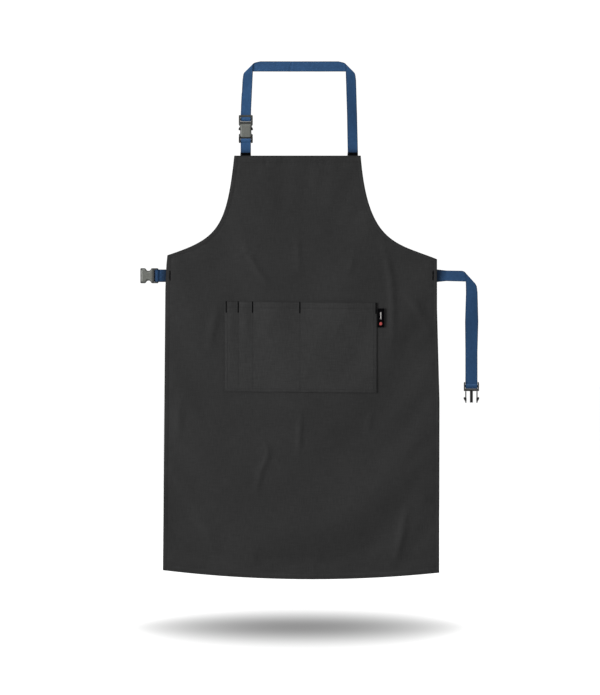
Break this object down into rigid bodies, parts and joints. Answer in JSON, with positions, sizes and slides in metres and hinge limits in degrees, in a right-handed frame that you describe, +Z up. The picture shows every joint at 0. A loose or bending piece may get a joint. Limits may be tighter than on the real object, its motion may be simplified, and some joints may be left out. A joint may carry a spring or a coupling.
{
  "type": "artist smock apron",
  "caption": "Canvas bib apron with a webbing neck loop, a divided front pocket and a webbing waist belt, with side-release buckles at the neck and waist.",
  "frame": {"origin": "middle of the neck strap's lower edge at the top of the loop, where the apron hangs", "axes": "+Z up along the hanging apron, -Y out of its front, +X to the viewer's right"},
  "size_m": [0.677, 0.0165, 1.0356],
  "materials": {
    "canvas": "plain woven canvas, charcoal",
    "pocket_canvas": "same canvas, grain turned",
    "webbing": "ribbed blue webbing",
    "thread": "black sewing thread",
    "socket_plastic": "satin grey moulding",
    "plug_plastic": "satin dark moulding",
    "label": "woven satin label"
  },
  "bodies": {
    "neck_loop": {"neck_strap": "webbing", "neck_strap_tail": "webbing", "neck_socket": "socket_plastic", "neck_plug": "plug_plastic", "neck_tab": "webbing"},
    "neck_prong_left": {"neck_prong_left": "plug_plastic"},
    "neck_prong_right": {"neck_prong_right": "plug_plastic"},
    "apron": {"body_panel": "canvas", "bib_top_hem": "canvas", "armhole_hem_left": "canvas", "armhole_hem_right": "canvas", "side_hem_left": "canvas", "side_hem_right": "canvas", "bottom_hem": "canvas", "pocket_patch": "pocket_canvas", "pocket_top_hem": "pocket_canvas", "pocket_seam_1": "thread", "pocket_seam_2": "thread", "pocket_seam_3": "thread", "pocket_tack_1": "thread", "pocket_tack_2": "thread", "pocket_tack_3": "thread", "pocket_tack_4": "thread", "pocket_tack_5": "thread", "neck_tack_left": "thread", "neck_tack_right": "thread", "waist_tack_left": "thread", "waist_tack_right": "thread", "neck_tab_end": "webbing", "neck_strap_end": "webbing", "waist_tab_end": "webbing", "waist_strap_end": "webbing"},
    "label": {"side_label": "label"},
    "waist_tab": {"waist_tab": "webbing"},
    "waist_socket": {"waist_socket": "socket_plastic"},
    "waist_strap": {"waist_strap_run": "webbing"},
    "waist_drop": {"waist_strap_drop": "webbing"},
    "waist_plug": {"waist_plug": "plug_plastic", "waist_strap_turn": "webbing"},
    "waist_prong_left": {"waist_prong_left": "plug_plastic"},
    "waist_prong_right": {"waist_prong_right": "plug_plastic"}
  },
  "joints": [
    {"name": "neck_fold", "type": "hinge", "parent": "neck_loop", "child": "apron", "pos_m": [0, -0.0013, -0.1616], "axis": [1, 0, 0], "range_deg": [-110, 110]},
    {"name": "neck_prong_left_flex", "type": "hinge", "parent": "neck_loop", "child": "neck_prong_left", "pos_m": [-0.1172, -0.0013, -0.1297], "axis": [0, 1, 0], "range_deg": [0, 9], "stiffness_Nm_per_rad": 1.5},
    {"name": "neck_prong_right_flex", "type": "hinge", "parent": "neck_loop", "child": "neck_prong_right", "pos_m": [-0.0968, -0.0013, -0.1297], "axis": [0, -1, 0], "range_deg": [0, 9], "stiffness_Nm_per_rad": 1.5},
    {"name": "label_lift", "type": "hinge", "parent": "apron", "child": "label", "pos_m": [0.1562, -0.0078, -0.493], "axis": [0, 0, -1], "range_deg": [0, 80]},
    {"name": "waist_tab_swing", "type": "hinge", "parent": "apron", "child": "waist_tab", "pos_m": [-0.276, -0.0013, -0.4085], "axis": [0, 0, -1], "range_deg": [-90, 90]},
    {"name": "waist_socket_swing", "type": "hinge", "parent": "waist_tab", "child": "waist_socket", "pos_m": [-0.284, -0.0013, -0.4085], "axis": [0, 0, -1], "range_deg": [-75, 75]},
    {"name": "waist_strap_swing", "type": "hinge", "parent": "apron", "child": "waist_strap", "pos_m": [0.28, -0.0013, -0.4085], "axis": [0, 0, 1], "range_deg": [-90, 90]},
    {"name": "waist_strap_unfold", "type": "hinge", "parent": "waist_strap", "child": "waist_drop", "pos_m": [0.344, -0.00215, -0.4085], "axis": [-0.7071, 0, 0.7071], "range_deg": [0, 170]},
    {"name": "waist_plug_swing", "type": "hinge", "parent": "waist_drop", "child": "waist_plug", "pos_m": [0.344, -0.003, -0.617], "axis": [1, 0, 0], "range_deg": [-90, 90]},
    {"name": "waist_prong_left_flex", "type": "hinge", "parent": "waist_plug", "child": "waist_prong_left", "pos_m": [0.3328, -0.003, -0.6393], "axis": [0, -1, 0], "range_deg": [0, 9], "stiffness_Nm_per_rad": 1.5},
    {"name": "waist_prong_right_flex", "type": "hinge", "parent": "waist_plug", "child": "waist_prong_right", "pos_m": [0.3552, -0.003, -0.6393], "axis": [0, 1, 0], "range_deg": [0, 9], "stiffness_Nm_per_rad": 1.5}
  ],
  "couplings": [
    {"joint": "neck_prong_right_flex", "follows": "neck_prong_left_flex", "ratio": 1},
    {"joint": "waist_prong_right_flex", "follows": "waist_prong_left_flex", "ratio": 1}
  ]
}
